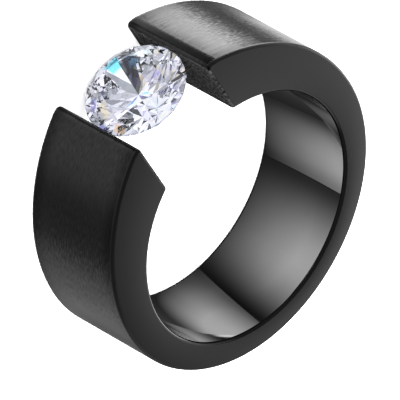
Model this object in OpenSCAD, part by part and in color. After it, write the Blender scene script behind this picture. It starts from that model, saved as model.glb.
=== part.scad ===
// Tension-set ring: a wide black steel band, open at the top, grips a round brilliant between its two ends.
// The finger's axis is Z, with the band's middle at Z = 0, and the stone faces -Y. The ring lies on a side face.

/* [Band] */
// Width of the band along the finger
band_w = 8; // [7.8:0.1:9]
// Radius of the finger hole
bore_r = 9.25; // [8.9:0.05:9.4]
// Rounding of the hole's rims and of the edges beside the gap
inner_round = 0.25; // [0.15:0.05:0.3]
// Rounding of the two outer rims
rim_round = 0.25; // [0.15:0.05:0.4]

/* [Outline] */
// Radius of the arc round the back and sides
back_r = 11.8; // [11.6:0.05:12]
// Radius of the flatter arcs that lead up to the gap
shoulder_r = 14.25; // [14:0.05:14.6]
// Distance from the finger's axis to the back arc's centre, towards the stone
outline_shift = 0.8; // [0.6:0.05:0.9]

/* [Gap] */
// Width of the gap between the two end faces
gap_w = 7.1; // [7.1:0.05:7.25]
// Rounding of the pointed outer edge of each arm
tip_round = 0.35; // [0.2:0.05:0.35]

/* [Stone] */
// Diameter of the stone over its girdle
stone_d = 7.3; // [7.3:0.05:7.6]
// Height of the girdle's middle above the finger's axis
stone_height = 12.9; // [12.75:0.05:12.9]
// Width of the table as a share of the stone's diameter
table_share = 0.61; // [0.53:0.01:0.62]
// Slope of the eight kite facets
crown_angle = 34.5; // [32:0.5:36]
// Slope of the eight main facets below the girdle
pavilion_angle = 41; // [40:0.25:41.5]
// Thickness of the girdle at its corners
girdle_t = 0.16; // [0.14:0.02:0.3]
// How far the star facets reach from the table towards the girdle
star_share = 0.5; // [0.4:0.05:0.6]
// How far the lower girdle facets reach from the girdle towards the culet
lower_share = 0.77; // [0.7:0.01:0.85]
// Space between the stone and its seats
seat_clear = 0.03; // [0.02:0.01:0.05]

/* [Hidden] */
$fn = 96;

black_steel = [0.16, 0.16, 0.17];
clear_stone = [0.9, 0.92, 0.97, 0.6];

half_w = band_w / 2;
gap_half = gap_w / 2;
// Longer than anything that is cut, so that every cutter passes right through
reach = 20;

// The right shoulder arc's centre: the arc leaves the back arc at its widest point, with no corner
shoulder_centre = [back_r - shoulder_r, -outline_shift];

// Centre of the rounding at the outer tip of the right arm: it touches the end face and the shoulder arc
tip_x = gap_half + tip_round;
tip_centre = [
    tip_x,
    shoulder_centre[1] - sqrt(pow(shoulder_r - tip_round, 2) - pow(tip_x - shoulder_centre[0], 2))
];
tip_out = (tip_centre - shoulder_centre) / norm(tip_centre - shoulder_centre);

// Centre of the rounding at the inner edge of the right arm: it touches the end face and the finger hole
heel_x = gap_half + inner_round;
heel_centre = [heel_x, -sqrt(pow(bore_r + inner_round, 2) - pow(heel_x, 2))];
heel_in = -heel_centre / norm(heel_centre);

// A disc about Z, as thick as the band is wide, with both rims rounded
module rounded_disc(radius) {
    rotate_extrude() {
        translate([0, -half_w + rim_round]) square([radius, band_w - 2 * rim_round]);
        translate([0, -half_w]) square([radius - rim_round, band_w]);
        for (side = [-1, 1])
            translate([radius - rim_round, side * (half_w - rim_round)]) circle(r = rim_round);
    }
}

// All space on one side of the plane through the back arc's centre: 0 is the back, 1 the side of the stone
module half_space(side) {
    translate([-reach, -outline_shift - side * reach, -reach]) cube([2 * reach, reach, 2 * reach]);
}

// The band's outline before any cut: half a disc at the back, and a pointed arch at the stone
module outline_body() {
    intersection() {
        translate([0, -outline_shift, 0]) rounded_disc(back_r);
        half_space(0);
    }
    intersection() {
        translate(shoulder_centre) rounded_disc(shoulder_r);
        mirror([1, 0, 0]) translate(shoulder_centre) rounded_disc(shoulder_r);
        half_space(1);
    }
}

// What a wall at a distance from the middle loses at both side faces when its edges are rounded
module edge_flares(wall) {
    for (side = [0, 1])
        mirror([0, side])
            difference() {
                translate([wall - inner_round, half_w - inner_round])
                    square([2 * inner_round, 2 * inner_round]);
                translate([wall + inner_round, half_w - inner_round]) circle(r = inner_round);
            }
}

// The finger hole with its rounded rims
module bore_cut() {
    rotate_extrude() {
        translate([0, -reach / 2]) square([bore_r, reach]);
        edge_flares(bore_r);
    }
}

// The gap between the arms, with the edges of both end faces rounded along the side faces
module gap_cut() {
    rotate([90, 0, 0])
        linear_extrude(reach) {
            translate([-gap_half, -reach / 2]) square([gap_w, reach]);
            for (side = [0, 1])
                mirror([side, 0]) edge_flares(gap_half);
        }
}

// Waste outside a rounding: the corner's block minus the rounding's own circle
module corner_waste(centre, radius, block) {
    translate([0, 0, -reach / 2])
        linear_extrude(reach)
            difference() {
                polygon(block);
                translate(centre) circle(r = radius);
            }
}

// The waste at the outer tip and at the inner edge of the right arm
module end_waste() {
    corner_waste(tip_centre, tip_round, [
        tip_centre,
        [gap_half - 1, tip_centre[1]],
        [gap_half - 1, -reach],
        shoulder_centre + (shoulder_r + 1) * tip_out
    ]);
    corner_waste(heel_centre, inner_round, [
        heel_centre,
        heel_centre + heel_in,
        [gap_half - 1, heel_centre[1] + 1],
        [gap_half - 1, heel_centre[1]]
    ]);
}

// Places its children at the stone: the stone's axis is their Z, its table faces their +Z
module at_stone() {
    translate([0, -stone_height, 0]) rotate([90, 0, 0]) children();
}

// The groove that grips the girdle: a disc with a V-shaped edge, cut into both end faces
module seat_cut() {
    rim = stone_d / 2 + seat_clear;
    flat = girdle_t / 2 + seat_clear;
    slope = 1;
    rotate_extrude()
        polygon([
            [rim - slope, -flat - slope],
            [rim, -flat],
            [rim, flat],
            [rim - slope, flat + slope]
        ]);
}

module band() {
    color(black_steel)
        difference() {
            outline_body();
            bore_cut();
            gap_cut();
            for (side = [0, 1])
                mirror([side, 0, 0]) end_waste();
            at_stone() seat_cut();
        }
}

// Radii and heights of the brilliant's corners, worked out from its proportions
folds = 8;
step = 360 / folds;
half = step / 2;
girdle_r = stone_d / 2;
table_r = table_share * girdle_r;
table_edge_r = table_r * cos(half);
table_z = girdle_t / 2 + (girdle_r - table_r) * tan(crown_angle);
star_r = table_edge_r + star_share * (girdle_r - table_edge_r);
star_z = table_z - (star_r * cos(half) - table_r) * tan(crown_angle);
culet_z = -girdle_t / 2 - girdle_r * tan(pavilion_angle);
lower_r = (1 - lower_share) * girdle_r;
lower_z = culet_z + lower_r * cos(half) * tan(pavilion_angle);

// The kites and the main facets end in a point this far inside the girdle
tip_inset = 0.03;
tip_r = girdle_r - tip_inset;
kite_tip_z = table_z - (tip_r - table_r) * tan(crown_angle);
main_tip_z = culet_z + tip_r * tan(pavilion_angle);

// A corner of the cut, from its radius, angle and height
function corner(radius, angle, z) = [radius * cos(angle), radius * sin(angle), z];

// A corner turned round the stone's axis
function turned(p, angle) = [
    p[0] * cos(angle) - p[1] * sin(angle),
    p[0] * sin(angle) + p[1] * cos(angle),
    p[2]
];

// Height of the plane through three corners, at a radius and an angle
function plane_z(plane, radius, angle) =
    let (normal = cross(plane[1] - plane[0], plane[2] - plane[0]))
    (plane[0] - corner(radius, angle, 0)) * normal / normal[2];

// The corner where one plane comes down to another, in the direction of an angle
function meeting(over, under, angle) =
    let (
        gap = plane_z(over, 0, angle) - plane_z(under, 0, angle),
        further_out = plane_z(over, 1, angle) - plane_z(under, 1, angle),
        radius = gap / (gap - further_out)
    )
    corner(radius, angle, plane_z(over, radius, angle));

// The planes of an upper and a lower girdle facet, from the middle of a kite to the next corner
upper_facet = [
    corner(star_r, half, star_z),
    corner(tip_r, 0, kite_tip_z),
    corner(girdle_r, half, girdle_t / 2)
];
lower_facet = [
    corner(lower_r, half, lower_z),
    corner(tip_r, 0, main_tip_z),
    corner(girdle_r, half, -girdle_t / 2)
];

// The corners of one fold. The last two lie outside the girdle, where the upper and lower planes meet.
fold_corners = [
    corner(table_r, 0, table_z),
    upper_facet[0],
    upper_facet[1],
    lower_facet[0],
    lower_facet[1],
    meeting(upper_facet, lower_facet, 0),
    meeting(upper_facet, lower_facet, half)
];
TABLE = 0;
STAR = 1;
KITE_TIP = 2;
LOWER = 3;
MAIN_TIP = 4;
EDGE_MIDDLE = 5;
EDGE_SIDE = 6;
CULET = folds * len(fold_corners);

// Number of a corner in the list of all folds
function at(fold, which) = ((fold + folds) % folds) * len(fold_corners) + which;

// All flat facets, running out to a sharp edge past the girdle
module facets() {
    points = [
        for (k = [0 : folds - 1]) for (p = fold_corners) turned(p, k * step),
        [0, 0, culet_z]
    ];
    faces = [
        [for (k = [folds - 1 : -1 : 0]) at(k, TABLE)],
        for (k = [0 : folds - 1]) each [
            [at(k, TABLE), at(k + 1, TABLE), at(k, STAR)],
            [at(k, TABLE), at(k, STAR), at(k, KITE_TIP), at(k - 1, STAR)],
            [at(k, STAR), at(k, EDGE_SIDE), at(k, EDGE_MIDDLE), at(k, KITE_TIP)],
            [at(k - 1, STAR), at(k, KITE_TIP), at(k, EDGE_MIDDLE), at(k - 1, EDGE_SIDE)],
            [CULET, at(k - 1, LOWER), at(k, MAIN_TIP), at(k, LOWER)],
            [at(k, LOWER), at(k, MAIN_TIP), at(k, EDGE_MIDDLE), at(k, EDGE_SIDE)],
            [at(k - 1, LOWER), at(k - 1, EDGE_SIDE), at(k, EDGE_MIDDLE), at(k, MAIN_TIP)]
        ]
    ];
    polyhedron(points, faces);
}

module stone() {
    color(clear_stone)
        at_stone()
            intersection() {
                facets();
                translate([0, 0, -reach / 2]) cylinder(r = girdle_r, h = reach);
            }
}

band();
stone();
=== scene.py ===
"""A black steel ring that grips a round brilliant between its two ends, with its lights and camera."""

import math
from collections import namedtuple

import bmesh
import bpy
from bpy.props import FloatProperty, FloatVectorProperty, PointerProperty
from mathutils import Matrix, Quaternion, Vector


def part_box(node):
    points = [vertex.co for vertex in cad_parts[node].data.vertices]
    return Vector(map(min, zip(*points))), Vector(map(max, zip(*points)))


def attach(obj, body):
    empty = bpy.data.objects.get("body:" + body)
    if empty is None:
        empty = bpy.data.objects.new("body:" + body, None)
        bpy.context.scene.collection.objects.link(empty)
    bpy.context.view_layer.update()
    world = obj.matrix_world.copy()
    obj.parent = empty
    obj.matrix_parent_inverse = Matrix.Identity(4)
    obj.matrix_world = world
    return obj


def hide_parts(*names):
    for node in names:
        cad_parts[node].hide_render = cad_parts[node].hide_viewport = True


bl_info = {
    "name": "Tension Ring",
    "version": (1, 0, 0),
    "blender": (4, 5, 0),
    "location": "3D View > Sidebar > Ring",
    "description": "Builds a black steel ring with a round brilliant held in its gap",
    "category": "Add Mesh",
}

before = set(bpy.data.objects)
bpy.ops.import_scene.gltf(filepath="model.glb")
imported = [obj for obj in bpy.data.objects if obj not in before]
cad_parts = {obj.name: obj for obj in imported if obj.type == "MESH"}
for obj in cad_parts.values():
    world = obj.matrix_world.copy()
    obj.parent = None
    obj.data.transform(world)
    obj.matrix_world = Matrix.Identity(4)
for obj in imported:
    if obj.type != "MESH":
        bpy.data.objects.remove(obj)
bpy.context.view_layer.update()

MM = 0.001
BODY = "root"

BAND_LOW, BAND_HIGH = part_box("band")
_, STONE_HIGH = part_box("stone")


class BandSettings(bpy.types.PropertyGroup):
    """Sizes and colours of the steel band."""

    width: FloatProperty(
        name="Width",
        description="Width of the band along the finger",
        default=BAND_HIGH.z - BAND_LOW.z,
        unit="LENGTH",
    )
    bore_radius: FloatProperty(
        name="Finger Hole",
        description="Radius of the finger hole",
        default=9.25 * MM,
        unit="LENGTH",
    )
    back_radius: FloatProperty(
        name="Back Radius",
        description="Radius of the arc round the back and sides",
        default=BAND_HIGH.x,
        unit="LENGTH",
    )
    outline_shift: FloatProperty(
        name="Outline Shift",
        description="Distance from the finger's axis to the back arc's centre, towards the stone",
        default=BAND_HIGH.x - BAND_HIGH.y,
        unit="LENGTH",
    )
    shoulder_radius: FloatProperty(
        name="Shoulder Radius",
        description="Radius of the flatter arcs that lead up to the gap",
        default=14.25 * MM,
        unit="LENGTH",
    )
    gap_width: FloatProperty(
        name="Gap",
        description="Width of the gap between the two end faces",
        default=7.1 * MM,
        unit="LENGTH",
    )
    tip_round: FloatProperty(
        name="Tip Rounding",
        description="Rounding of the pointed outer edge of each arm",
        default=0.35 * MM,
        unit="LENGTH",
    )
    roll_radius: FloatProperty(
        name="Roll Radius",
        description="Radius of the short arc in which the outer surface rolls over towards each tip",
        default=2.4 * MM,
        unit="LENGTH",
    )
    roll_turn: FloatProperty(
        name="Roll Turn",
        description="How far the outer surface turns in the roll towards each tip",
        default=math.radians(16),
        subtype="ANGLE",
    )
    heel_round: FloatProperty(
        name="Heel Rounding",
        description="Rounding of the edge between each end face and the finger hole",
        default=0.25 * MM,
        unit="LENGTH",
    )
    rim_round: FloatProperty(
        name="Rim Rounding",
        description="Rounding of the edges along both side faces",
        default=0.24 * MM,
        unit="LENGTH",
    )
    crown: FloatProperty(
        name="Crown",
        description="How far the satin finish rounds each side face, from its edges to its middle",
        default=0.06 * MM,
        unit="LENGTH",
    )
    arc_step: FloatProperty(
        name="Arc Step",
        description="Length of one facet along the long arcs",
        default=0.25 * MM,
        unit="LENGTH",
    )
    steel_color: FloatVectorProperty(
        name="Steel",
        description="Colour of the black coated steel",
        default=(0.060, 0.060, 0.060),
        subtype="COLOR",
    )


class StoneSettings(bpy.types.PropertyGroup):
    """Sizes and optics of the round brilliant."""

    girdle_radius: FloatProperty(
        name="Girdle Radius",
        description="Radius of the stone at its girdle",
        default=STONE_HIGH.x,
        unit="LENGTH",
    )
    height: FloatProperty(
        name="Height",
        description="Distance from the finger's axis to the girdle",
        default=12.9 * MM,
        unit="LENGTH",
    )
    seat_clearance: FloatProperty(
        name="Seat Clearance",
        description="Space between the stone and its seats",
        default=0.03 * MM,
        unit="LENGTH",
    )
    girdle_thickness: FloatProperty(
        name="Girdle Thickness",
        description="Thickness of the girdle at its corners",
        default=0.16 * MM,
        unit="LENGTH",
    )
    refraction: FloatProperty(
        name="Refraction",
        description="Index of refraction of the stone",
        default=2.15,
    )


class StageSettings(bpy.types.PropertyGroup):
    """The camera's place, the floor and the strength of the light."""

    azimuth: FloatProperty(
        name="Azimuth",
        description="Camera's direction round the ring, from the side of the stone",
        default=math.radians(16.99),
        subtype="ANGLE",
    )
    elevation: FloatProperty(
        name="Elevation",
        description="Camera's angle above the floor",
        default=math.radians(38.02),
        subtype="ANGLE",
    )
    roll: FloatProperty(
        name="Roll",
        description="Camera's turn about its own line of sight",
        default=math.radians(119.17),
        subtype="ANGLE",
    )
    distance: FloatProperty(
        name="Distance",
        description="From the camera to the point that it looks at",
        default=550 * MM,
        unit="LENGTH",
    )
    target: FloatVectorProperty(
        name="Target",
        description="The point in the middle of the picture",
        default=(0.547 * MM, -0.009 * MM, -0.216 * MM),
        subtype="TRANSLATION",
    )
    view_width: FloatProperty(
        name="View Width",
        description="Width of the picture at the target",
        default=27.2455 * MM,
        unit="LENGTH",
    )
    floor_color: FloatVectorProperty(
        name="Floor",
        description="Colour of the floor",
        default=(0.9, 0.9, 0.9),
        subtype="COLOR",
    )
    fill_strength: FloatProperty(
        name="Fill",
        description="Strength of the even white light from all round",
        default=3.0,
    )
    stone_brightness: FloatProperty(
        name="Studio in Stone",
        description="Brightness of the studio as seen through the stone",
        default=1.55,
    )
    key_power: FloatProperty(
        name="Key",
        description="Power of the large soft light above the camera",
        default=3.0,
        subtype="POWER",
        unit="POWER",
    )
    wall_brightness: FloatProperty(
        name="Walls",
        description="Brightness of the room between its soft lights, as the steel mirrors it",
        default=0.2,
    )
    upper_brightness: FloatProperty(
        name="Upper Room",
        description="Brightness of the room above the floor, as the steel mirrors it",
        default=0.15,
    )
    back_azimuth: FloatProperty(
        name="Back Light Azimuth",
        description="Direction of the soft light behind the ring, from the side of the stone",
        default=math.radians(212),
        subtype="ANGLE",
    )
    back_elevation: FloatProperty(
        name="Back Light Elevation",
        description="Height angle of the soft light behind the ring",
        default=math.radians(18),
        subtype="ANGLE",
    )
    back_distance: FloatProperty(
        name="Back Light Distance",
        description="Distance of the soft light behind the ring",
        default=100 * MM,
        unit="LENGTH",
    )
    back_brightness: FloatProperty(
        name="Back Light",
        description="Brightness of the soft light behind the ring",
        default=1.3,
    )


# Selecting and shaping


def deselect_all():
    """Leaves edit mode with nothing selected."""
    if bpy.context.object and bpy.context.object.mode != "OBJECT":
        bpy.ops.object.mode_set(mode="OBJECT")
    bpy.ops.object.select_all(action="DESELECT")


def pick(piece):
    """Makes one piece the only selected and active one."""
    deselect_all()
    piece.select_set(True)
    bpy.context.view_layer.objects.active = piece


def select_faces(piece, wanted):
    """In edit mode, selects only the faces whose middle and normal are wanted."""
    bpy.ops.mesh.select_mode(type="FACE")
    bpy.ops.mesh.select_all(action="DESELECT")
    mesh = bmesh.from_edit_mesh(piece.data)
    for face in mesh.faces:
        face.select_set(wanted(piece.matrix_world @ face.calc_center_median(), face.normal))
    bmesh.update_edit_mesh(piece.data)


def select_edges(piece, wanted):
    """In edit mode, selects only the edges whose two ends are wanted."""
    bpy.ops.mesh.select_mode(type="EDGE")
    bpy.ops.mesh.select_all(action="DESELECT")
    mesh = bmesh.from_edit_mesh(piece.data)
    for edge in mesh.edges:
        ends = [piece.matrix_world @ corner.co for corner in edge.verts]
        edge.select_set(wanted(*ends))
    bmesh.update_edit_mesh(piece.data)


def apply_place(piece):
    """Puts a piece's origin at the ring's origin, with its place in its mesh."""
    pick(piece)
    bpy.ops.object.transform_apply(location=True, rotation=True, scale=True)


def apply_modifier(piece, kind, **values):
    """Adds a modifier with the given values and applies it."""
    pick(piece)
    bpy.ops.object.modifier_add(type=kind)
    modifier = piece.modifiers[-1]
    for name, value in values.items():
        setattr(modifier, name, value)
    bpy.ops.object.modifier_apply(modifier=modifier.name)


# Nodes


def connect(tree, node, sources):
    """Gives a node's inputs their sources: outputs are linked, and plain values are set on the input."""
    for key, source in sources.items():
        socket = node.inputs[key]
        if isinstance(source, bpy.types.NodeSocket):
            tree.links.new(source, socket)
        else:
            socket.default_value = source


def add_node(tree, kind, sources=None, **values):
    """Adds a node, sets its values and gives its inputs their sources."""
    node = tree.nodes.new(kind)
    for name, value in values.items():
        setattr(node, name, value)
    connect(tree, node, sources or {})
    return node


def math_node(tree, operation, *values):
    """A Math node on outputs or plain numbers."""
    return add_node(tree, "ShaderNodeMath", dict(enumerate(values)), operation=operation).outputs[0]


def vector_node(tree, operation, *values):
    """What a Vector Math node makes of outputs or plain vectors: a number or another vector."""
    node = add_node(tree, "ShaderNodeVectorMath", dict(enumerate(values)), operation=operation)
    gives_number = operation in ("LENGTH", "DISTANCE", "DOT_PRODUCT")
    return node.outputs["Value" if gives_number else "Vector"]


def product(tree, result, *factors):
    """The product of several outputs or plain numbers."""
    for factor in factors:
        result = math_node(tree, "MULTIPLY", result, factor)
    return result


def scaled(tree, vector, factor):
    """A vector or a colour times a varying factor."""
    sources = {0: vector, "Scale": factor}
    return add_node(tree, "ShaderNodeVectorMath", sources, operation="SCALE").outputs[0]


def flat_vector(tree, x, y):
    """A vector without height, from its X and Y."""
    return add_node(tree, "ShaderNodeCombineXYZ", {0: x, 1: y}).outputs[0]


def parts_of(tree, vector):
    """The X, Y and Z of a vector."""
    return add_node(tree, "ShaderNodeSeparateXYZ", {0: vector}).outputs


def own_place(tree):
    """The place in the ring's own frame."""
    return add_node(tree, "ShaderNodeTexCoord").outputs["Object"]


def shade(tree, amount, low, high):
    """Maps a noise pattern, most of which lies between 0.3 and 0.7, onto a range of values."""
    sources = {"Value": amount, "From Min": 0.3, "From Max": 0.7, "To Min": low, "To Max": high}
    return add_node(tree, "ShaderNodeMapRange", sources).outputs[0]


def between(tree, value, low, high, at_low, at_high):
    """Goes smoothly from one number to another as a value runs from low to high."""
    sources = {"Value": value, "From Min": low, "From Max": high, "To Min": at_low, "To Max": at_high}
    return add_node(tree, "ShaderNodeMapRange", sources, interpolation_type="SMOOTHSTEP").outputs[0]


def fading_from(tree, direction, middle, inside, outside, level):
    """A level that holds near a middle direction and fades out between two angles from it, in degrees."""
    facing = vector_node(tree, "DOT_PRODUCT", direction, tuple(middle))
    at_outside = math.cos(math.radians(outside))
    at_inside = math.cos(math.radians(inside))
    return between(tree, facing, at_outside, at_inside, 0.0, level)


def mixed(tree, share, first, second):
    """The first colour where the share is 0 and the second where it is 1."""
    sources = {"Factor": share, "A": first, "B": second}
    return add_node(tree, "ShaderNodeMix", sources, data_type="RGBA").outputs["Result"]


def mixed_shaders(tree, share, first, second):
    """The first shader where the share is 0 and the second where it is 1."""
    return add_node(tree, "ShaderNodeMixShader", {"Fac": share, 1: first, 2: second}).outputs[0]


def new_material(name):
    """A new material, its node tree and its shader."""
    material = bpy.data.materials.new(name)
    material.use_nodes = True
    tree = material.node_tree
    return material, tree, tree.nodes["Principled BSDF"]


def new_group(name, inputs, outputs):
    """A shader node group of plain numbers, with the defaults of its inputs and the names of its outputs."""
    group = bpy.data.node_groups.new(name, "ShaderNodeTree")
    for label, value in inputs.items():
        socket = group.interface.new_socket(label, in_out="INPUT", socket_type="NodeSocketFloat")
        socket.default_value = value
    for label in outputs:
        group.interface.new_socket(label, in_out="OUTPUT", socket_type="NodeSocketFloat")
    return group, group.nodes.new("NodeGroupInput"), group.nodes.new("NodeGroupOutput")


def place_group(tree, group, **values):
    """Places a node group in a material with its own values, and gives its outputs."""
    node = tree.nodes.new("ShaderNodeGroup")
    node.node_tree = group
    for name, value in values.items():
        node.inputs[name.replace("_", " ")].default_value = value
    return node.outputs


# Steel finishes, whose node groups take their lengths in millimetres


def stroke_group():
    """Brush strokes that run round the band: long along its arc and fine across its width."""
    group, given, result = new_group(
        "brush_strokes", {"Stroke Length": 3.0, "Stroke Width": 0.06, "Detail": 2.0}, ["Strokes"]
    )
    x, y, z = parts_of(group, own_place(group))
    mean_radius_mm = 12.5
    along = product(group, math_node(group, "ARCTAN2", x, y), mean_radius_mm)
    across = math_node(group, "DIVIDE", z, MM)
    along_strokes = math_node(group, "DIVIDE", along, given.outputs["Stroke Length"])
    across_strokes = math_node(group, "DIVIDE", across, given.outputs["Stroke Width"])
    noise = add_node(
        group,
        "ShaderNodeTexNoise",
        {
            "Vector": flat_vector(group, along_strokes, across_strokes),
            "Scale": 1.0,
            "Detail": given.outputs["Detail"],
        },
        noise_dimensions="2D",
    )
    connect(group, result, {"Strokes": noise.outputs["Fac"]})
    return group


def grain_group():
    """Even fine grain, with a softer mottling at a larger scale."""
    group, given, result = new_group(
        "steel_grain", {"Grain Size": 0.08, "Mottling Size": 2.5}, ["Grain", "Mottling"]
    )
    place = own_place(group)
    for pattern in ("Grain", "Mottling"):
        scale = math_node(group, "DIVIDE", 1 / MM, given.outputs[pattern + " Size"])
        noise = add_node(group, "ShaderNodeTexNoise", {"Vector": place, "Scale": scale, "Detail": 3.0})
        connect(group, result, {pattern: noise.outputs["Fac"]})
    return group


def crown_group(band):
    """Height of a side face's slight crown, which is highest midway between the hole and the outside."""
    group, given, result = new_group("side_crown", {"Rise": band.crown / MM}, ["Height"])
    x, y, _ = parts_of(group, own_place(group))
    in_arms = math_node(group, "LESS_THAN", y, -band.outline_shift)
    centre_x = math_node(group, "MULTIPLY", in_arms, band.shoulder_radius - band.back_radius)
    from_centre_x = math_node(group, "ADD", math_node(group, "ABSOLUTE", x), centre_x)
    from_centre_y = math_node(group, "ADD", y, band.outline_shift)
    from_centre = vector_node(group, "LENGTH", flat_vector(group, from_centre_x, from_centre_y))
    from_axis = vector_node(group, "LENGTH", flat_vector(group, x, y))
    outer_radius = math_node(group, "ADD", centre_x, band.back_radius)
    to_outside = math_node(group, "SUBTRACT", outer_radius, from_centre)
    from_hole = math_node(group, "SUBTRACT", from_axis, band.bore_radius)
    share = math_node(group, "DIVIDE", from_hole, math_node(group, "ADD", from_hole, to_outside))
    rest = math_node(group, "SUBTRACT", 1.0, share)
    # Midway both shares are a half, and four times their product is 1
    height = product(group, share, rest, 4.0, given.outputs["Rise"])
    connect(group, result, {"Height": height})
    return group


# The node groups that the finishes share
Patterns = namedtuple("Patterns", "strokes grain")


def near_side_faces(tree, start, end, at_start, at_end):
    """Goes smoothly from one number to another between two distances from the side faces."""
    from_middle = math_node(tree, "ABSOLUTE", parts_of(tree, own_place(tree))["Z"])
    return between(tree, from_middle, BAND_HIGH.z - start, BAND_HIGH.z - end, at_start, at_end)


def painted_rim_light(tree, lit_arm, shaded_arm):
    """A factor of painted light for the rounded rims along both side faces: a painted highlight on the arm
    at -X and painted shade towards +X.
    """
    past_surface = near_side_faces(tree, 0.26 * MM, 0.2 * MM, 0.0, 1.0)
    on_side_face = near_side_faces(tree, 0.1 * MM, 0.005 * MM, 0.0, 1.0)
    on_rim = math_node(tree, "SUBTRACT", past_surface, on_side_face)
    lit_x, shaded_x = -8 * MM, 1 * MM
    x = parts_of(tree, own_place(tree))["X"]
    extra = between(tree, x, lit_x, shaded_x, lit_arm - 1.0, shaded_arm - 1.0)
    return math_node(tree, "MULTIPLY_ADD", on_rim, extra, 1.0)


def bumped(tree, height, distance):
    """A normal from a height pattern, with the bump's depth in metres."""
    sources = {"Height": height, "Distance": distance, "Strength": 1.0}
    return add_node(tree, "ShaderNodeBump", sources).outputs[0]


def turned_along(tree, tangent, amount):
    """The surface's normal, turned by a varying amount towards the tangent."""
    normal = add_node(tree, "ShaderNodeNewGeometry").outputs["Normal"]
    total = vector_node(tree, "ADD", normal, scaled(tree, tangent, amount))
    return vector_node(tree, "NORMALIZE", total)


def brushed_steel(band, patterns):
    """The outer surface, brushed round the band with short fine strokes, with painted shade that darkens it
    towards its rims.
    """
    material, tree, shader = new_material("brushed_black_steel")
    fine = place_group(tree, patterns.strokes, Stroke_Length=0.45, Stroke_Width=0.09, Detail=1.0)["Strokes"]
    broad = place_group(tree, patterns.strokes, Stroke_Length=1.6, Stroke_Width=0.12, Detail=1.0)["Strokes"]
    mottling = place_group(tree, patterns.grain, Mottling_Size=3.0)["Mottling"]
    fine_share = 0.6
    relief = math_node(tree, "ADD", product(tree, fine, fine_share), product(tree, broad, 1 - fine_share))
    # The tone carries painted shade, which darkens the brushed surface towards both side faces.
    tone = product(
        tree,
        shade(tree, fine, 0.77, 1.23),
        shade(tree, mottling, 0.95, 1.05),
        near_side_faces(tree, 1.4 * MM, 0.25 * MM, 1.0, 0.55),
    )
    tangent = add_node(tree, "ShaderNodeTangent", direction_type="RADIAL", axis="Z").outputs[0]
    connect(
        tree,
        shader,
        {
            "Metallic": 1.0,
            "Base Color": scaled(tree, tuple(band.steel_color), tone),
            "Roughness": shade(tree, mottling, 0.21, 0.19),
            "Anisotropic": 0.95,
            "Anisotropic Rotation": 0.25,
            "Tangent": tangent,
            "Normal": turned_along(tree, tangent, shade(tree, relief, -0.05, 0.05)),
        },
    )
    return material


def satin_steel(band, patterns):
    """The two side faces and the rounded rims between them and the outer surface."""
    material, tree, shader = new_material("satin_black_steel")
    texture = place_group(tree, patterns.grain, Grain_Size=0.05, Mottling_Size=4.0)
    crown = place_group(tree, crown_group(band))["Height"]
    # The rims' tone carries painted light: a painted highlight on the arm at -X and painted shade towards
    # +X.
    tone = product(
        tree,
        shade(tree, texture["Grain"], 1.0, 1.14),
        shade(tree, texture["Mottling"], 0.96, 1.04),
        painted_rim_light(tree, lit_arm=1.5, shaded_arm=0.85),
    )
    # The crown's height is in millimetres too
    grain_depth_mm = 0.0006
    height = math_node(tree, "ADD", crown, product(tree, texture["Grain"], grain_depth_mm))
    connect(
        tree,
        shader,
        {
            "Metallic": 1.0,
            "Base Color": scaled(tree, tuple(band.steel_color), tone),
            "Roughness": shade(tree, texture["Mottling"], 0.36, 0.42),
            "Normal": bumped(tree, height, 1.0 * MM),
        },
    )
    return material


def polished_steel(band, patterns):
    """The finger hole and its rounded rims, with a few hairline scratches."""
    material, tree, shader = new_material("polished_black_steel")
    scratches = place_group(tree, patterns.strokes, Stroke_Length=1.5, Stroke_Width=0.04, Detail=1.0)
    mottling = place_group(tree, patterns.grain, Mottling_Size=2.0)["Mottling"]
    tone = shade(tree, mottling, 0.97, 1.03)
    connect(
        tree,
        shader,
        {
            "Metallic": 1.0,
            "Base Color": scaled(tree, tuple(band.steel_color), tone),
            "Roughness": shade(tree, scratches["Strokes"], 0.015, 0.04),
        },
    )
    return material


def grained_steel(band, patterns):
    """The end faces and the stone's seats, left with a fine rough grain."""
    material, tree, shader = new_material("grained_black_steel")
    texture = place_group(tree, patterns.grain, Grain_Size=0.2, Mottling_Size=1.2)
    tone = product(
        tree,
        shade(tree, texture["Grain"], 0.0, 1.1),
        shade(tree, texture["Mottling"], 0.8, 1.2),
    )
    connect(
        tree,
        shader,
        {
            "Metallic": 0.5,
            "Specular IOR Level": 0.0,
            "Specular Tint": (0.3, 0.3, 0.3, 1.0),
            "Base Color": scaled(tree, tuple(band.steel_color), tone),
            "Roughness": shade(tree, texture["Mottling"], 0.62, 0.7),
            "Normal": bumped(tree, texture["Grain"], 0.003 * MM),
        },
    )
    return material


# The band's material slots hold its finishes in this order
FINISHES = (brushed_steel, satin_steel, polished_steel, grained_steel)
BRUSHED, SATIN, POLISHED, GRAINED = range(4)


# The band


def sweep(centre, angle, radius, step):
    """Sweeps the selected corner round a centre, anticlockwise from above, in facets of about a step."""
    facets = math.ceil(radius * abs(angle) / step)
    bpy.ops.mesh.spin(steps=facets, angle=-angle, center=(*centre, BAND_LOW.z), axis=(0, 0, 1))


def run_straight(distance):
    """Runs the selected corner straight along Y."""
    bpy.ops.mesh.extrude_region_move(TRANSFORM_OT_translate={"value": (0, distance, 0)})


def towards_stone(angle):
    """Unit vector at an angle from +X towards the stone."""
    return Vector((math.cos(angle), -math.sin(angle)))


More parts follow.
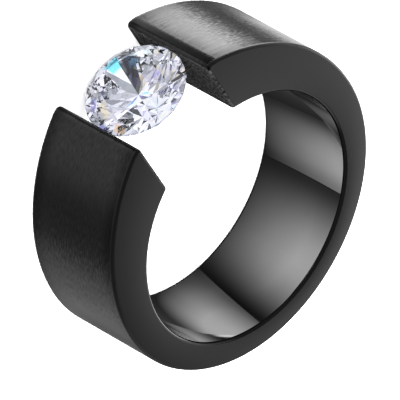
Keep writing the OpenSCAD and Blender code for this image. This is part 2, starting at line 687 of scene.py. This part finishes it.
def draw_outline(band):
    """In edit mode, draws the band's closed outline from one corner, round both arms and the finger hole."""
    shoulder_x = band.shoulder_radius - band.back_radius
    shift = -band.outline_shift
    step, small_step = band.arc_step, band.arc_step / 4

    # The roll meets the shoulder and the tip's rounding without a corner, which sets the shoulder's angle
    to_roll = band.shoulder_radius - band.roll_radius
    to_tip = band.roll_radius - band.tip_round
    across = to_roll + to_tip * math.cos(band.roll_turn)
    along = to_tip * math.sin(band.roll_turn)
    tip_x = band.gap_width / 2 + band.tip_round
    past_roll = math.acos((tip_x + shoulder_x) / math.hypot(across, along))
    shoulder_angle = past_roll - math.atan2(along, across)
    tip_angle = shoulder_angle + band.roll_turn
    roll = Vector((-shoulder_x, shift)) + to_roll * towards_stone(shoulder_angle)
    tip = roll + to_tip * towards_stone(tip_angle)

    heel_x = band.gap_width / 2 + band.heel_round
    heel_y = -math.sqrt((band.bore_radius + band.heel_round) ** 2 - heel_x**2)
    heel_angle = math.atan2(-heel_y, heel_x)

    start = tip + band.tip_round * towards_stone(tip_angle)
    bpy.ops.mesh.primitive_plane_add(size=band.tip_round, location=(*start, BAND_LOW.z))
    bpy.ops.object.mode_set(mode="EDIT")
    bpy.ops.mesh.merge(type="CENTER")

    sweep(roll, band.roll_turn, band.roll_radius, small_step)
    sweep((-shoulder_x, shift), shoulder_angle, band.shoulder_radius, step)
    sweep((0, shift), math.pi, band.back_radius, step)
    sweep((shoulder_x, shift), shoulder_angle, band.shoulder_radius, step)
    sweep((-roll.x, roll.y), band.roll_turn, band.roll_radius, small_step)
    sweep((-tip.x, tip.y), math.pi - tip_angle, band.tip_round, small_step)
    run_straight(heel_y - tip.y)
    sweep((-heel_x, heel_y), heel_angle, band.heel_round, small_step / 2)
    sweep((0, 0), -(math.pi + 2 * heel_angle), band.bore_radius, step)
    sweep((heel_x, heel_y), heel_angle, band.heel_round, small_step / 2)
    run_straight(tip.y - heel_y)
    sweep(tip, math.pi - tip_angle, band.tip_round, small_step)

    bpy.ops.mesh.select_all(action="SELECT")
    bpy.ops.mesh.remove_doubles(threshold=MM / 1000)


def along_side_face(a, b):
    """Whether an edge between two points lies level, along one of the side faces."""
    return abs(a.z - b.z) < MM / 100


def seat_cutter(stone):
    """A disc with a V-shaped edge that cuts both seats, a little larger than the girdle."""
    rim = stone.girdle_radius + stone.seat_clearance
    flat = stone.girdle_thickness + 2 * stone.seat_clearance
    slope = 1 * MM
    deselect_all()
    bpy.ops.mesh.primitive_cylinder_add(
        vertices=192,
        radius=rim,
        depth=flat,
        location=(0, -stone.height, 0),
        rotation=(math.pi / 2, 0, 0),
    )
    cutter = bpy.context.object
    apply_place(cutter)
    bpy.ops.object.mode_set(mode="EDIT")
    for side in (-1, 1):
        select_faces(cutter, lambda middle, normal: normal.y * side > 0.9)
        bpy.ops.mesh.extrude_region_move(TRANSFORM_OT_translate={"value": (0, side * slope, 0)})
        scale = (rim - slope) / rim
        centre = (0, -stone.height + side * (flat / 2 + slope), 0)
        bpy.ops.transform.resize(value=(scale, 1, scale), center_override=centre)
    bpy.ops.object.mode_set(mode="OBJECT")
    return cutter


def finish_of(middle, normal, band):
    """Which finish a face of the band has, from its middle and its normal."""
    on_side_face = abs(normal.z) > 0.98
    on_rim = abs(normal.z) > 0.05
    in_gap = abs(middle.x) < band.gap_width / 2 + band.heel_round and middle.y < 0
    at_tip = middle.y < BAND_LOW.y + 0.5 * MM and abs(normal.x) < 0.8
    from_axis = math.hypot(middle.x, middle.y)
    if on_side_face:
        return SATIN
    if in_gap and from_axis > band.bore_radius + band.heel_round:
        return BRUSHED if at_tip else GRAINED
    if from_axis < band.bore_radius + band.rim_round + MM / 100:
        return POLISHED
    return SATIN if on_rim else BRUSHED


class RING_OT_band(bpy.types.Operator):
    """Builds the steel band with its seats and its four finishes."""

    bl_idname = "ring.band"
    bl_label = "Band"

    def execute(self, context):
        band = context.scene.ring_band
        deselect_all()
        draw_outline(band)
        piece = bpy.context.object
        piece.name = piece.data.name = "band_steel"
        bpy.ops.mesh.edge_face_add()
        bpy.ops.mesh.extrude_region_move(TRANSFORM_OT_translate={"value": (0, 0, band.width)})
        bpy.ops.mesh.select_all(action="SELECT")
        bpy.ops.mesh.normals_make_consistent(inside=False)
        select_edges(piece, along_side_face)
        bpy.ops.mesh.bevel(
            offset=band.rim_round, offset_type="OFFSET", segments=6, profile=0.5, clamp_overlap=False
        )
        bpy.ops.object.mode_set(mode="OBJECT")
        apply_place(piece)

        cutter = seat_cutter(context.scene.ring_stone)
        apply_modifier(piece, "BOOLEAN", object=cutter, operation="DIFFERENCE", solver="EXACT")
        bpy.data.objects.remove(cutter)

        patterns = Patterns(stroke_group(), grain_group())
        for finish in FINISHES:
            piece.data.materials.append(finish(band, patterns))
        for face in piece.data.polygons:
            face.material_index = finish_of(face.center, face.normal, band)

        pick(piece)
        bpy.ops.object.shade_smooth_by_angle(angle=math.radians(30))
        apply_modifier(piece, "WEIGHTED_NORMAL", mode="FACE_AREA", weight=100, keep_sharp=True)
        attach(piece, BODY)
        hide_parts("band")
        return {"FINISHED"}


# The stone

# Painted flashes of fire in the stone's face, after a painted dark reflection as a wedge, the first entry.
# Each is
# a piece of a sector: its turn and half turn in degrees round the culet's image, then its middle distance
# and half length in millimetres.
Flash = namedtuple("Flash", "turn half_turn distance half_length color")
PAINTED_FLASHES = (
    Flash(-124, 7, 1.9, 2.2, (0.02, 0.03, 0.08)),
    Flash(-105, 9, 3.3, 1.0, (0.05, 0.68, 0.95)),
    Flash(-131, 7, 2.8, 0.8, (0.06, 0.30, 0.7)),
    Flash(-128, 9, 1.0, 0.7, (0.20, 0.16, 0.80)),
    Flash(-50, 8, 3.35, 0.4, (0.36, 0.32, 0.85)),
    Flash(7, 8, 2.7, 0.3, (1.0, 0.55, 0.25)),
    Flash(-32, 13, 2.6, 0.4, (1.0, 0.85, 0.5)),
    Flash(-16, 8, 3.3, 0.35, (0.15, 0.15, 0.45)),
)

# Where the culet shows through the table
CULET_IMAGE = (0.37 * MM, 0, 1.06 * MM)

# A vector times this keeps only its part across the stone's axis
ACROSS_STONE = (1, 0, 1)


def with_painted_flashes(tree, color, stone):
    """A colour with all the painted flashes of fire and the painted dark wedge laid over it, on the front of
    the stone only.
    """
    place = own_place(tree)
    from_culet = vector_node(tree, "SUBTRACT", place, CULET_IMAGE)
    across = vector_node(tree, "MULTIPLY", from_culet, ACROSS_STONE)
    distance = vector_node(tree, "LENGTH", across)
    towards = vector_node(tree, "NORMALIZE", across)
    above_girdle = 0.1 * MM
    in_front = math_node(tree, "LESS_THAN", parts_of(tree, place)["Y"], -stone.height - above_girdle)
    for each in PAINTED_FLASHES:
        turn = math.radians(each.turn)
        middle = (math.cos(turn), 0, math.sin(turn))
        inside, outside = 0.8 * each.half_turn, 1.2 * each.half_turn
        in_sector = fading_from(tree, towards, middle, inside, outside, 1.0)
        off_middle = math_node(
            tree, "ABSOLUTE", math_node(tree, "SUBTRACT", distance, each.distance * MM)
        )
        half_length = each.half_length * MM
        in_length = between(tree, off_middle, 0.5 * half_length, half_length, 1.0, 0.0)
        share = product(tree, in_sector, in_length, in_front)
        color = mixed(tree, share, color, (*each.color, 1.0))
    return color


def grey_girdle(tree, color, radius):
    """A colour that turns grey just before the girdle, which is ground and not polished."""
    ground_width = 0.12 * MM
    ground_grey = (0.3, 0.3, 0.34, 1.0)
    most_grey = 0.75
    distance = vector_node(tree, "LENGTH", vector_node(tree, "MULTIPLY", own_place(tree), ACROSS_STONE))
    share = between(tree, distance, radius - ground_width, radius, 0.0, most_grey)
    return mixed(tree, share, color, ground_grey)


def clear_stone(stone):
    """The cut stone, colourless, with painted flashes of fire and faint painted fire in coloured cells."""
    material, tree, shader = new_material("clear_stone")
    # Faint coloured cells stand in for the stone's fire: painted colour of dispersed light.
    cells_per_mm = 0.6
    painted_fire_share = 0.06
    faint_blue = (0.93, 0.94, 1.0, 1.0)
    cells = add_node(
        tree, "ShaderNodeTexVoronoi", {"Vector": own_place(tree), "Scale": cells_per_mm / MM}
    )
    tint = mixed(tree, painted_fire_share, faint_blue, cells.outputs["Color"])
    # Painted flashes of fire and a painted dark reflection, laid over the tint.
    color = with_painted_flashes(tree, tint, stone)
    connect(
        tree,
        shader,
        {
            "Metallic": 0.0,
            "Transmission Weight": 1.0,
            "IOR": stone.refraction,
            "Roughness": 0.0,
            "Base Color": grey_girdle(tree, color, stone.girdle_radius),
        },
    )
    return material


class RING_OT_stone(bpy.types.Operator):
    """Gives the cut stone its clear material."""

    bl_idname = "ring.stone"
    bl_label = "Stone"

    def execute(self, context):
        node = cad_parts["stone"]
        node.data.materials.clear()
        node.data.materials.append(clear_stone(context.scene.ring_stone))
        return {"FINISHED"}


# The stage

# Tall soft lights round the room that the steel mirrors. The azimuth is counted from the side of the stone,
# and each light fades out over its edge, in degrees.
Light = namedtuple("Light", "azimuth half_width edge brightness")
ROOM_LIGHTS = (
    Light(271, 10.5, 8, 5.2),
    Light(0, 12, 8, 0.35),
    Light(35, 28, 20, 0.42),
    Light(138, 22, 12, 0.42),
    Light(207, 18, 10, 0.5),
    Light(214, 13, 9, 0.85),
)

# Small round soft lights that the rounded rims mirror, with angles in degrees
RimLight = namedtuple("RimLight", "azimuth elevation half_width brightness")
RIM_LIGHTS = (
    RimLight(157, 22, 24, 0.6),
    RimLight(252, 28, 22, 0.4),
    RimLight(226, 4, 20, 2.5),
)

# Light panels under the ring that the finger hole mirrors, as sectors of one disc. Each is brightest at its
# peak, and grows brighter between two distances in millimetres, from the ring's axis or only along -X. Its
# start and end are azimuths at the edge distance from the axis, and turn with each millimetre further out.
UnderPanel = namedtuple(
    "UnderPanel", "start start_turn at_start peak at_peak end end_turn at_end near_mm far_mm along_x"
)
UNDER_PANELS = (
    UnderPanel(
        start=-62.5, start_turn=-1.0, at_start=-0.05,
        peak=3, at_peak=5.6,
        end=91, end_turn=-0.57, at_end=0.2,
        near_mm=10, far_mm=20, along_x=False,
    ),
    UnderPanel(
        start=-150, start_turn=0, at_start=0.0,
        peak=-104, at_peak=3.7,
        end=-70, end_turn=0, at_end=0.0,
        near_mm=15, far_mm=21.5, along_x=True,
    ),
    UnderPanel(
        start=-110, start_turn=0, at_start=0.0,
        peak=-80, at_peak=1.3,
        end=-62.5, end_turn=-1.0, at_end=0.9,
        near_mm=12, far_mm=18, along_x=False,
    ),
    UnderPanel(
        start=92, start_turn=-0.57, at_start=2.8,
        peak=108, at_peak=4.8,
        end=160, end_turn=0, at_end=0.1,
        near_mm=13.3, far_mm=24.5, along_x=False,
    ),
)
EDGE_DISTANCE_MM = 13
BRIGHTNESS_BETWEEN_PANELS = 0.12
UNDER_DISC_RADIUS = 26.5 * MM
UNDER_DISC_Z = -20 * MM

# A vector times this keeps only its level part
LEVEL = (1, 1, 0)

WHITE = (1, 1, 1, 1)


def direction_of(azimuth, elevation):
    """Unit vector from the ring towards an azimuth, counted from the side of the stone, and an elevation."""
    level = math.cos(elevation)
    return Vector((math.sin(azimuth) * level, -math.cos(azimuth) * level, math.sin(elevation)))


def azimuth_of(tree, x, y):
    """The azimuth of a point, counted from the side of the stone, in degrees from -180 to 180."""
    angle = math_node(tree, "ARCTAN2", x, product(tree, y, -1.0))
    return math_node(tree, "DEGREES", angle)


def turn_towards(piece, towards, axis):
    """Turns a piece so that one of its own axes points in a direction."""
    piece.rotation_mode = "QUATERNION"
    piece.rotation_quaternion = towards.to_track_quat(axis, "Y")


def add_floor(stage):
    """A wide pale floor under the ring, which the steel doesn't mirror and the stone shows a little blue."""
    seen_in_stone = {"Color": (0.83, 0.85, 0.9, 1.0), "Strength": 1.4}
    deselect_all()
    bpy.ops.mesh.primitive_plane_add(size=8000 * MM, location=(0, 0, BAND_LOW.z))
    floor = bpy.context.object
    floor.name = "floor"
    material, tree, shader = new_material("pale_floor")
    connect(
        tree,
        shader,
        {"Base Color": (*stage.floor_color, 1), "Roughness": 1.0, "Specular IOR Level": 0.0},
    )
    in_stone = add_node(tree, "ShaderNodeEmission", seen_in_stone)
    to_stone = add_node(tree, "ShaderNodeLightPath").outputs["Is Transmission Ray"]
    surface = mixed_shaders(tree, to_stone, shader.outputs[0], in_stone.outputs[0])
    connect(tree, tree.nodes["Material Output"], {"Surface": surface})
    floor.data.materials.append(material)
    floor.visible_glossy = False


def add_key(stage):
    """One large soft light above the camera, so that the ring's shadow falls behind it."""
    height_angle = math.radians(60)
    distance = 400 * MM
    towards = direction_of(stage.azimuth, height_angle)
    deselect_all()
    bpy.ops.object.light_add(type="AREA", location=towards * distance)
    key = bpy.context.object
    key.name = "key_light"
    turn_towards(key, -towards, "-Z")
    key.data.shape = "DISK"
    key.data.size = 250 * MM
    key.data.energy = stage.key_power
    key.visible_camera = False
    key.visible_glossy = False
    key.visible_transmission = False


def glowing(panel, strength_of, see_through=False):
    """Gives a light panel a brightness that follows its place, and shows it only in the steel's gloss."""
    material, tree, _ = new_material(panel.name)
    tree.nodes.clear()
    light = add_node(tree, "ShaderNodeEmission", {"Strength": strength_of(tree, own_place(tree))})
    clear = tree.nodes.new("ShaderNodeBsdfTransparent")
    if see_through:
        light = add_node(tree, "ShaderNodeAddShader", {0: light.outputs[0], 1: clear.outputs[0]})
    to_stone = add_node(tree, "ShaderNodeLightPath").outputs["Is Transmission Ray"]
    surface = mixed_shaders(tree, to_stone, light.outputs[0], clear.outputs[0])
    add_node(tree, "ShaderNodeOutputMaterial", {"Surface": surface})
    panel.data.materials.append(material)
    panel.visible_camera = False
    panel.visible_diffuse = False
    panel.visible_volume_scatter = False
    panel.visible_shadow = False


def inside_turn(tree, azimuth, further_out, panel):
    """A panel's brightness at an azimuth: up to its peak, down to its end, and none outside."""
    start = math_node(tree, "MULTIPLY_ADD", further_out, panel.start_turn, panel.start)
    end = math_node(tree, "MULTIPLY_ADD", further_out, panel.end_turn, panel.end)
    rise = between(tree, azimuth, start, panel.peak, panel.at_start, panel.at_peak)
    fall = between(tree, azimuth, panel.peak, end, 0.0, panel.at_peak - panel.at_end)
    after_start = math_node(tree, "GREATER_THAN", azimuth, start)
    before_end = math_node(tree, "LESS_THAN", azimuth, end)
    inside = product(tree, after_start, before_end)
    return product(tree, math_node(tree, "SUBTRACT", rise, fall), inside)


def under_brightness(tree, place):
    """Brightness of the disc of light panels at a place on it."""
    x, y, _ = parts_of(tree, place)
    azimuth = azimuth_of(tree, x, y)
    distance = vector_node(tree, "LENGTH", vector_node(tree, "MULTIPLY", place, LEVEL))
    further_out = math_node(tree, "MULTIPLY_ADD", distance, 1 / MM, -EDGE_DISTANCE_MM)
    towards_minus_x = product(tree, x, -1.0)
    total = BRIGHTNESS_BETWEEN_PANELS
    for each in UNDER_PANELS:
        sources = {
            "Value": towards_minus_x if each.along_x else distance,
            "From Min": each.near_mm * MM,
            "From Max": each.far_mm * MM,
        }
        outward = add_node(tree, "ShaderNodeMapRange", sources).outputs[0]
        light = product(tree, inside_turn(tree, azimuth, further_out, each), outward)
        total = math_node(tree, "ADD", total, light)
    return total


def add_under_panels():
    """A disc of light panels under the ring, which only the polished finger hole mirrors."""
    deselect_all()
    bpy.ops.mesh.primitive_circle_add(
        vertices=64, radius=UNDER_DISC_RADIUS, fill_type="NGON", location=(0, 0, UNDER_DISC_Z)
    )
    disc = bpy.context.object
    disc.name = "under_panels"
    glowing(disc, under_brightness)


def shade_brightness(tree, place):
    """Brightness of the shade at a place on it: dim, with one tall highlight for the brushed surface."""
    highlight_azimuth = -38.0
    bright_within, dim_beyond = 4.0, 14.0
    bright, dim = 3.0, 0.3
    x, y, _ = parts_of(tree, place)
    turn = math_node(tree, "SUBTRACT", azimuth_of(tree, x, y), highlight_azimuth)
    off_highlight = math_node(tree, "ABSOLUTE", turn)
    return between(tree, off_highlight, bright_within, dim_beyond, bright, dim)


def add_shade():
    """A funnel round the rays from the finger hole, so that the outer surface doesn't mirror the disc."""
    top, bottom = -4.1 * MM, UNDER_DISC_Z
    top_radius, bottom_radius = 10.5 * MM, 27 * MM
    deselect_all()
    bpy.ops.mesh.primitive_cone_add(
        vertices=96,
        radius1=bottom_radius,
        radius2=top_radius,
        depth=top - bottom,
        end_fill_type="NOTHING",
        location=(0, 0, (top + bottom) / 2),
    )
    funnel = bpy.context.object
    funnel.name = "shade"
    apply_place(funnel)
    glowing(funnel, shade_brightness)


def add_back_light(stage):
    """A round soft light behind the ring, bright in its middle, that the upper side face mirrors."""
    half_angle = math.radians(38)
    towards = direction_of(stage.back_azimuth, stage.back_elevation)
    middle = towards * stage.back_distance
    radius = stage.back_distance * math.tan(half_angle)
    even_radius = 0.1 * radius
    deselect_all()
    bpy.ops.mesh.primitive_circle_add(vertices=64, radius=radius, fill_type="NGON")
    panel = bpy.context.object
    panel.name = "back_light"
    turn_towards(panel, -towards, "Z")
    panel.location = middle
    apply_place(panel)

    def strength(tree, place):
        from_middle = vector_node(tree, "DISTANCE", place, tuple(middle))
        return between(tree, from_middle, even_radius, radius, stage.back_brightness, 0.0)

    glowing(panel, strength, see_through=True)


def steel_surroundings(tree, direction, stage):
    """Brightness of the room as the steel mirrors it: tall lights below the horizon, small ones above."""
    height = math_node(tree, "DEGREES", math_node(tree, "ARCSINE", parts_of(tree, direction)["Z"]))
    level = vector_node(tree, "NORMALIZE", vector_node(tree, "MULTIPLY", direction, LEVEL))
    walls = stage.wall_brightness
    for each in ROOM_LIGHTS:
        middle = direction_of(math.radians(each.azimuth), 0)
        inside, outside = each.half_width - each.edge, each.half_width + each.edge
        light = fading_from(tree, level, middle, inside, outside, each.brightness)
        walls = math_node(tree, "ADD", walls, light)
    below_horizon = -12.0
    lower_half = between(tree, height, below_horizon, 0.0, 1.0, 0.0)
    upper_half = between(tree, height, below_horizon, 0.0, 0.0, stage.upper_brightness)
    lights = math_node(tree, "ADD", product(tree, walls, lower_half), upper_half)
    for each in RIM_LIGHTS:
        middle = direction_of(math.radians(each.azimuth), math.radians(each.elevation))
        light = fading_from(tree, direction, middle, each.half_width / 3, each.half_width, each.brightness)
        lights = math_node(tree, "ADD", lights, light)
    return lights


def seen_through_stone(tree, direction, inside, stage):
    """The white studio as the stone shows it: dimmer near the camera, with soft patches for its facets.

    Inside is 1 for light that comes through the stone, and 0 for what its outer faces mirror."""
    mirrored_share = 0.25
    patch_hue_share = 0.12
    faint_blue = (0.90, 0.92, 1.0, 1.0)
    dimmest = 0.47 * stage.stone_brightness
    dims_from, dimmest_at = 0.2, 0.95
    to_camera = tuple(direction_of(stage.azimuth, stage.elevation))
    facing = vector_node(tree, "DOT_PRODUCT", direction, to_camera)
    dimmed = between(tree, facing, dims_from, dimmest_at, stage.stone_brightness, dimmest)
    patches = add_node(tree, "ShaderNodeTexNoise", {"Vector": direction, "Scale": 5.0, "Detail": 1.0})
    share = math_node(tree, "MULTIPLY_ADD", inside, 1.0 - mirrored_share, mirrored_share)
    strength = product(tree, dimmed, shade(tree, patches.outputs["Fac"], 0.2, 1.8), share)
    hue = mixed(tree, patch_hue_share, faint_blue, patches.outputs["Color"])
    return add_node(tree, "ShaderNodeBackground", {"Color": hue, "Strength": strength}).outputs[0]


def light_room(stage):
    """Even white light for the floor, a patchy studio for the stone, and soft lights for the steel."""
    world = bpy.data.worlds.new("studio")
    bpy.context.scene.world = world
    world.use_nodes = True
    world.cycles.sampling_method = "NONE"
    tree = world.node_tree
    tree.nodes.clear()
    direction = add_node(tree, "ShaderNodeTexCoord").outputs["Generated"]
    lights = steel_surroundings(tree, direction, stage)
    mirrored = add_node(tree, "ShaderNodeBackground", {"Color": WHITE, "Strength": lights})
    white = add_node(tree, "ShaderNodeBackground", {"Color": WHITE, "Strength": stage.fill_strength})
    rays = add_node(tree, "ShaderNodeLightPath").outputs
    in_steel = mixed_shaders(tree, rays["Is Glossy Ray"], white.outputs[0], mirrored.outputs[0])
    to_stone = math_node(tree, "MAXIMUM", rays["Is Transmission Ray"], rays["Is Singular Ray"])
    studio = seen_through_stone(tree, direction, rays["Is Transmission Ray"], stage)
    add_node(tree, "ShaderNodeOutputWorld", {"Surface": mixed_shaders(tree, to_stone, in_steel, studio)})


def add_camera(stage):
    """The camera, with a long lens, at the photograph's viewing angle."""
    towards = direction_of(stage.azimuth, stage.elevation)
    bpy.ops.object.camera_add(location=Vector(stage.target) + towards * stage.distance)
    camera = bpy.context.object
    camera.name = "camera"
    turn_towards(camera, -towards, "-Z")
    camera.rotation_quaternion = camera.rotation_quaternion @ Quaternion((0, 0, 1), stage.roll)
    sensor_width = 36
    camera.data.sensor_fit = "HORIZONTAL"
    camera.data.sensor_width = sensor_width
    camera.data.lens = sensor_width * stage.distance / stage.view_width
    camera.data.clip_start = 10 * MM
    camera.data.clip_end = 100
    bpy.context.scene.camera = camera


class RING_OT_stage(bpy.types.Operator):
    """Sets the floor, the lights and the camera."""

    bl_idname = "ring.stage"
    bl_label = "Stage"

    def execute(self, context):
        stage = context.scene.ring_stage
        add_floor(stage)
        add_key(stage)
        add_under_panels()
        add_shade()
        add_back_light(stage)
        light_room(stage)
        add_camera(stage)
        context.scene.view_settings.view_transform = "Standard"
        context.scene.cycles.glossy_bounces = 12
        context.scene.cycles.transmission_bounces = 16
        context.scene.cycles.max_bounces = 16
        return {"FINISHED"}


# The add-on


class RING_PT_panel(bpy.types.Panel):
    """Lists the ring's pieces and their settings."""

    bl_label = "Ring"
    bl_space_type = "VIEW_3D"
    bl_region_type = "UI"
    bl_category = "Ring"

    def draw(self, context):
        layout = self.layout
        for operator, settings in (
            (RING_OT_band, context.scene.ring_band),
            (RING_OT_stone, context.scene.ring_stone),
            (RING_OT_stage, context.scene.ring_stage),
        ):
            layout.operator(operator.bl_idname)
            for name in settings.__annotations__:
                layout.prop(settings, name)


CLASSES = (
    BandSettings,
    StoneSettings,
    StageSettings,
    RING_OT_band,
    RING_OT_stone,
    RING_OT_stage,
    RING_PT_panel,
)


def register():
    """Registers the classes and gives each scene the ring's settings."""
    for each in CLASSES:
        bpy.utils.register_class(each)
    bpy.types.Scene.ring_band = PointerProperty(type=BandSettings)
    bpy.types.Scene.ring_stone = PointerProperty(type=StoneSettings)
    bpy.types.Scene.ring_stage = PointerProperty(type=StageSettings)


def unregister():
    """Takes the settings and the classes away again."""
    del bpy.types.Scene.ring_stage
    del bpy.types.Scene.ring_stone
    del bpy.types.Scene.ring_band
    for each in reversed(CLASSES):
        bpy.utils.unregister_class(each)


def main():
    """Builds the stage, the band and the stone."""
    register()
    bpy.ops.ring.stage()
    bpy.ops.ring.band()
    bpy.ops.ring.stone()


if __name__ == "__main__":
    main()
